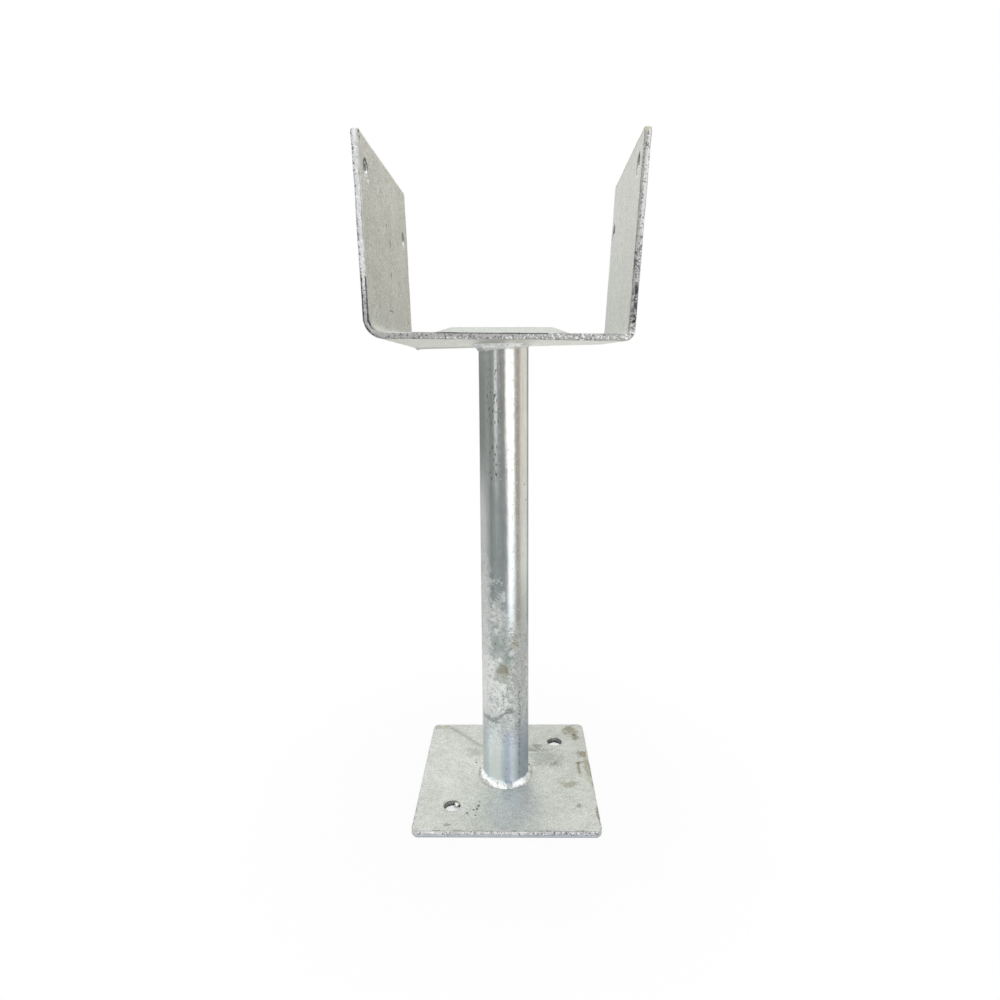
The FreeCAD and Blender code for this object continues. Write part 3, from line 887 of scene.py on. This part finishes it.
def make_saddle(material):
    """The folded sheet, with ragged sheared edges under the zinc."""
    points, faces = remeshed("saddle", voxel=0.9 * MM)
    local = to_local(points, saddle_frame) / MM
    along, depth, down = sheet_place(local)
    across, edge, toward = outline_place(local)
    # lay each point exactly on the sheet's faces, ends and softened edges again
    below = np.abs(depth - SHEET / 2) - SHEET / 2
    over = np.maximum(below + ARRIS, 0)
    past = np.maximum(ARRIS - edge, 0)
    reach = np.maximum(np.hypot(over, past), 1e-6)
    on_arris = (over > 0) & (past > 0)
    near_face = ~on_arris & (np.abs(below) < SNAP)
    near_end = ~on_arris & (np.abs(edge) < SNAP)
    push = np.where(on_arris, over * (ARRIS / reach - 1), np.where(near_face, -below, 0))
    pull = np.where(on_arris, past * (ARRIS / reach - 1), np.where(near_end, edge, 0))
    push *= np.sign(depth - SHEET / 2)
    # slight waves in the faces, and tears along the sheared ends
    end = 1 - step(edge, 0.1, 1.3)
    push += lumps(points, 26 * MM, 5) * 0.12 * (1 - end)
    pull += (lumps(points, 2.4 * MM, 3) * 0.20 - 0.08) * end
    # zinc gathers at the front corner of the left flange's tip
    knob = np.exp(-((local[:, 1] + 48.5) ** 2 + (local[:, 2] - 89.5) ** 2) / 5.0)
    knob *= local[:, 0] < 0
    push += knob * (depth - SHEET / 2) / (SHEET / 2) * 0.8
    local[:, 0] += down[:, 0] * push
    local[:, 1] += toward[:, 0] * pull
    local[:, 2] += down[:, 1] * push + toward[:, 1] * pull
    # a drop hangs where the floor's back left corner drained
    drop = np.exp(-((local[:, 0] + 55.0) ** 2 + (local[:, 1] - 49.5) ** 2) / 1.6)
    local[:, 2] -= drop * 1.1 * step(depth, SHEET / 2, SHEET)
    local[:, 2] += twist_rise(local)
    attributes = [("sheet", "FLOAT_VECTOR", "vector", np.column_stack((along, depth, across))),
                  ("edge", "FLOAT", "value", edge)]
    return new_piece("saddle_sheet", to_part(local * MM, saddle_frame), faces, "saddle",
                     material, attributes)


def make_seat(material):
    """The bevelled plate, lying on the twisted floor."""
    points, faces = remeshed("seat_plate", voxel=0.8 * MM)
    local = to_local(points, saddle_frame) / MM
    local[:, 2] += twist_rise(local)
    return new_piece("seat", to_part(local * MM, saddle_frame), faces, "seat_plate",
                     material)


def make_plate(material):
    """The base plate, with ragged sheared edges under the zinc."""
    points, faces = remeshed("base_plate", voxel=0.7 * MM)
    thickness = plate_high.z - plate_low.z
    near_face = 0.3 * MM
    points[points[:, 2] > thickness - near_face, 2] = thickness
    points[points[:, 2] < near_face, 2] = 0
    half = plate_high.x
    above = step(points[:, 2], 0.5 * MM, 1.5 * MM)
    ragged = (lumps(points, 2.5 * MM, 11) - 0.6) * 0.12 * MM
    for axis in (0, 1):
        end = step(np.abs(points[:, axis]), half - 1.2 * MM, half)
        points[:, axis] += np.sign(points[:, axis]) * end * above * ragged
    waves = (lumps(points, 22 * MM, 13) - 0.8) * 0.08 * MM
    points[:, 2] += waves * step(points[:, 2], thickness / 2, thickness)
    return new_piece("plate", points, faces, "base_plate", material)


def make_leg(material):
    """The pipe, as a finely divided tube, so that it reflects as a round thing."""
    spokes, rim, end = 240, 0.3 * MM, 2 * MM
    bore = leg_radius - PIPE_WALL
    levels = [0, rim, *np.linspace(end, leg_length - end, 60), leg_length - rim, leg_length]
    loop = [(leg_radius, level) for level in levels] + [(bore, level) for level in levels[::-1]]
    points = []
    for radius, level in loop:
        for i in range(spokes):
            swing = 2 * math.pi * i / spokes
            place = leg_frame @ Vector((radius * math.cos(swing), radius * math.sin(swing), level))
            if level == 0:
                place.z = leg_low.z
            points.append(place)
    faces = []
    for j in range(len(loop)):
        below, above = j * spokes, (j + 1) % len(loop) * spokes
        for i in range(spokes):
            k = (i + 1) % spokes
            faces.append((below + i, below + k, above + k, above + i))
    return new_piece("leg", points, faces, "leg_pipe", material)


def make_clot(material):
    """Zinc that set against the wall of the front left anchor hole, hanging down it."""
    middle = Vector((-ANCHOR, -ANCHOR, 1.9)) * MM
    toward = Vector((0.62, 0.78, 0))
    aside = Vector((toward.y, -toward.x, 0))
    points, faces = [], []
    rings, spokes = 14, 20
    for i in range(rings):
        rise = 1 - 2 * i / (rings - 1)
        waist = math.sqrt(max(1 - rise * rise, 0.0004))
        for j in range(spokes):
            swing = 2 * math.pi * j / spokes
            spoke = toward * math.cos(swing) + aside * math.sin(swing)
            shape = spoke * waist + Vector((0, 0, rise))
            swell = 1 + 0.35 * noise.fractal(shape * 1.4 + Vector((3, 1, 4)), 1, 2, 2)
            place = toward * (shape.dot(toward) * 1.7) + aside * (shape.dot(aside) * 1.5)
            place.z = rise * 1.5
            points.append(middle + (toward * 3.5 + place * swell) * MM)
    for i in range(rings - 1):
        for j in range(spokes):
            a, b = i * spokes + j, i * spokes + (j + 1) % spokes
            faces.append((a, a + spokes, b + spokes, b))
    faces.append(tuple(range(spokes)))
    faces.append(tuple(reversed(range((rings - 1) * spokes, rings * spokes))))
    return new_piece("hole_clot", points, faces, None, material)


def make_bead(name, node, material, matrix, rise, out_leg, up_leg, crown, seed, follow=None):
    """A hand-laid fillet weld round the pipe: overlapping pools, uneven legs.

    out_leg and up_leg give the bead's reach at a direction, in degrees from -Y, right positive.
    crown is how far its face swells, as a share of that reach.
    """
    around_steps, across_steps = 360, 18
    inside = leg_radius - 0.3 * MM      # sunk a little into the pipe
    points = []
    for i in range(around_steps):
        degrees = 360 * i / around_steps
        radians = math.radians(degrees)
        outward = Vector((math.sin(radians), -math.cos(radians), 0))
        pool = noise.fractal(outward * 2.6 + Vector((0, 0, seed)), 1, 2, 2)
        ripple = noise.fractal(outward * 4.5 + Vector((0, 0, seed + 9)), 1, 2, 3)
        out_reach = out_leg(degrees) * (1 + 0.10 * pool) * MM
        bite = noise.fractal(outward * 16 + Vector((0, 0, seed + 5)), 1, 2, 2)
        up_reach = (up_leg(degrees) * (1 + 0.12 * ripple) + 0.15 * bite) * MM
        for j in range(across_steps + 1):
            share = j / across_steps
            swell = math.sin(math.pi * share)
            lump = noise.fractal(outward * 3.5 + Vector((0, share, seed)), 1, 2, 2)
            bulge = (crown + 0.08 * lump) * swell * min(out_reach, up_reach)
            place = outward * (leg_radius + out_reach * (1 - share) + bulge * 0.7)
            place.z = rise * (up_reach * share + bulge * 0.7)
            points.append(place)
        points.append(outward * inside + Vector((0, 0, rise * up_reach)))
        points.append(outward * inside)
    ring = across_steps + 3
    faces = []
    for i in range(around_steps):
        for j in range(ring):
            a, b = i * ring + j, i * ring + (j + 1) % ring
            c, d = (b + ring) % (around_steps * ring), (a + ring) % (around_steps * ring)
            faces.append((a, b, c, d) if rise > 0 else (d, c, b, a))
    placed = np.array([matrix @ point for point in points])
    if follow is not None:
        placed = follow(placed)
    return new_piece(name, placed, faces, node, material)


def follow_saddle(points):
    """Moves points with the twisted underside of the saddle."""
    local = to_local(points, saddle_frame) / MM
    local[:, 2] += twist_rise(local)
    return to_part(local * MM, saddle_frame)


def make_welds():
    weld = weld_finish()
    make_clot(weld)

    def foot_out(degrees):
        return 2.7 + 1.0 * math.cos(math.radians(degrees))

    def foot_up(degrees):
        return 2.3 + 0.6 * math.cos(math.radians(degrees + 40))

    def head_out(degrees):
        return 3.3 - 0.6 * math.sin(math.radians(degrees)) + 0.2 * math.cos(math.radians(degrees))

    def head_up(degrees):
        return 2.8 - 1.2 * math.sin(math.radians(degrees))

    head_frame = leg_frame @ Matrix.Translation((0, 0, leg_length))
    make_bead("foot_bead", "foot_weld", weld, leg_frame, 1, foot_out, foot_up, 0.22, 2)
    make_bead("head_bead", "head_weld", weld, head_frame, -1, head_out, head_up, -0.12, 7,
              follow_saddle)


def main():
    make_camera()
    make_world()
    make_floor()
    make_saddle(saddle_finish())
    make_seat(seat_finish())
    make_plate(plate_finish())
    make_welds()
    make_leg(pipe_finish())
    bpy.context.scene.view_settings.view_transform = "Standard"


main()
